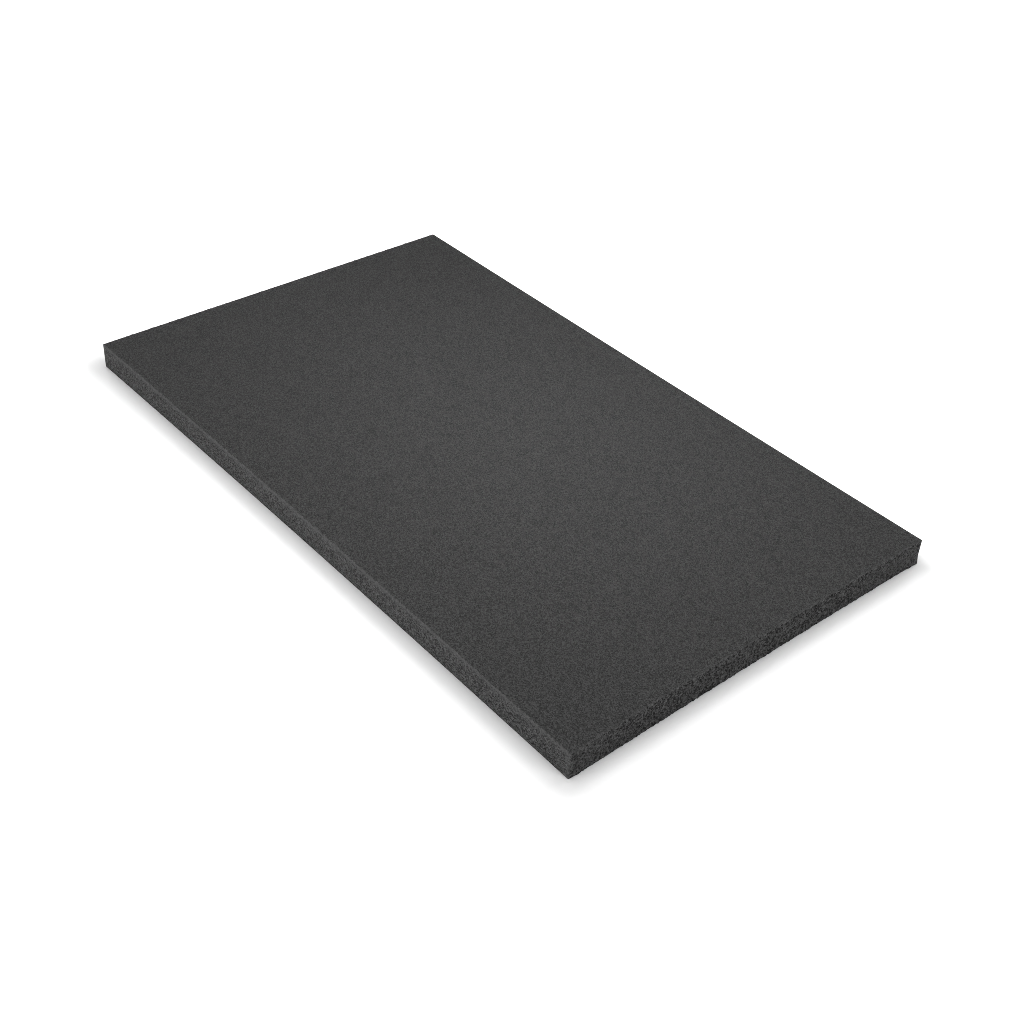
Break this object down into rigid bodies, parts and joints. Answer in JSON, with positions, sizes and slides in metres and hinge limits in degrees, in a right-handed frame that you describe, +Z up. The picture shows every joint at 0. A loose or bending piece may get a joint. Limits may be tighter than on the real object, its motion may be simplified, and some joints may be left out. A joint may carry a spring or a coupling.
{
  "type": "polyethylene foam sheet",
  "caption": "Flat rectangular sheet of dark grey closed-cell foam with trimmed square edges, used for cushioning, packing and lining.",
  "frame": {"origin": "centre of the underside", "axes": "+X along the length, +Y across the width, +Z up through the thickness"},
  "size_m": [0.508, 0.305, 0.019],
  "materials": {
    "foam": "fine closed cells, matt, dark charcoal grey"
  },
  "bodies": {
    "root": {"foam_sheet": "foam"}
  },
  "joints": []
}
